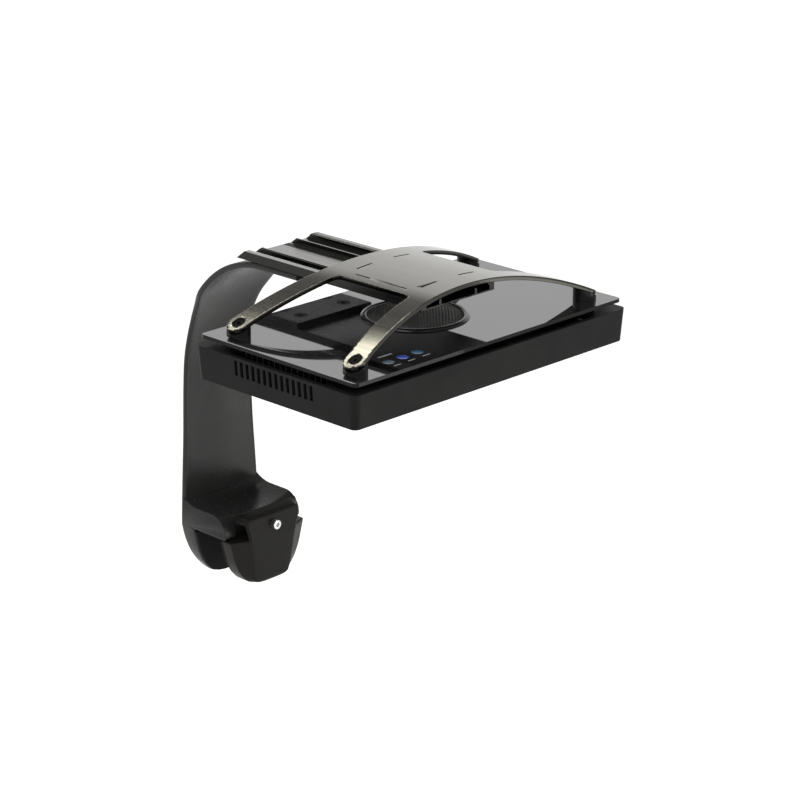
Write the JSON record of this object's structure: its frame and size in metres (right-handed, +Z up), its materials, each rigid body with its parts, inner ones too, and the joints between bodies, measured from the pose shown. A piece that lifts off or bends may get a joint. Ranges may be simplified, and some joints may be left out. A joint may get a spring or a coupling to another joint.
{
  "type": "led aquarium light",
  "caption": "Slim rectangular aquarium lamp head with a fan in its glass top, hung from an arched hanger that slides on a rail, on a bent arm with a screw clamp.",
  "frame": {"origin": "centre of the clamp's seat, the downward face that rests on the top edge of the pane", "axes": "+X along the lamp's long side, -Y from the clamp over the water, +Z up"},
  "size_m": [0.255, 0.2735, 0.265],
  "materials": {
    "anodised_arm": "satin black cast aluminium",
    "anodised_rail": "dark anodised extrusion",
    "bronze_sheet": "grey bronze anodised sheet",
    "steel": "bright steel",
    "black_steel": "black oxide steel",
    "brass": "turned brass",
    "rubber": "matt black rubber",
    "jaw_shell": "warm charcoal satin",
    "post_black": "black turned post",
    "runner_plastic": "black acetal",
    "glass_black": "dark mirror gloss",
    "key_light": "lit key",
    "print_light": "pale print",
    "board_green": "solder mask",
    "guard_metal": "dark satin ring",
    "guard_wire": "black wire",
    "fan_plastic": "black moulding",
    "housing_black": "fine matt powder coat",
    "sink_metal": "milled aluminium",
    "board_white": "white solder mask",
    "chip_yellow": "phosphor",
    "lens_clear": "clear moulded optic",
    "cover_clear": "clear cover sheet"
  },
  "bodies": {
    "arm": {"arm": "anodised_arm", "rail": "anodised_rail", "rail_strips": "runner_plastic", "rail_bolts": "black_steel", "fixed_jaw_pad": "rubber", "screw_insert": "brass"},
    "lamp": {"carriage": "anodised_rail", "carriage_runners": "runner_plastic", "hanger": "bronze_sheet", "hanger_screws": "black_steel", "hanger_posts": "post_black", "post_nuts": "steel", "plate_spacers": "post_black", "glass_top": "glass_black", "touch_keys": "key_light", "touch_marks": "print_light", "touch_board": "board_green", "fan_guard_ring": "guard_metal", "fan_guard_mesh": "guard_wire", "fan_frame": "fan_plastic", "fan_screws": "steel", "fan_bearing": "brass", "housing": "housing_black", "base_screws": "steel", "heatsink": "sink_metal", "board_screws": "steel", "led_board": "board_white", "led_chips": "chip_yellow", "led_lenses": "lens_clear", "lens_gasket": "rubber", "lens_cover": "cover_clear", "power_socket": "fan_plastic", "socket_pin": "brass", "socket_nut": "steel"},
    "fan": {"fan_rotor": "fan_plastic", "fan_shaft": "steel"},
    "jaw": {"clamp_jaw": "jaw_shell", "moving_jaw_pad": "rubber", "guide_pins": "steel"},
    "screw": {"clamp_screw": "steel", "screw_clip": "steel"}
  },
  "joints": [
    {"name": "lamp_slide", "type": "slide", "parent": "arm", "child": "lamp", "axis": [0, 1, 0], "range_m": [-0.008, 0.085]},
    {"name": "fan_spin", "type": "hinge", "parent": "lamp", "child": "fan", "pos_m": [0, -0.172, 0.18], "axis": [0, 0, 1], "continuous": true},
    {"name": "jaw_slide", "type": "slide", "parent": "arm", "child": "jaw", "axis": [0, 1, 0], "range_m": [0, 0.009]},
    {"name": "screw_turn", "type": "hinge", "parent": "jaw", "child": "screw", "pos_m": [0, -0.03, 0.0073], "axis": [0, 1, 0], "range_deg": [0, 3240]}
  ],
  "couplings": [
    {"joint": "screw_turn", "follows": "jaw_slide", "rad_per_m": 6283.2}
  ]
}
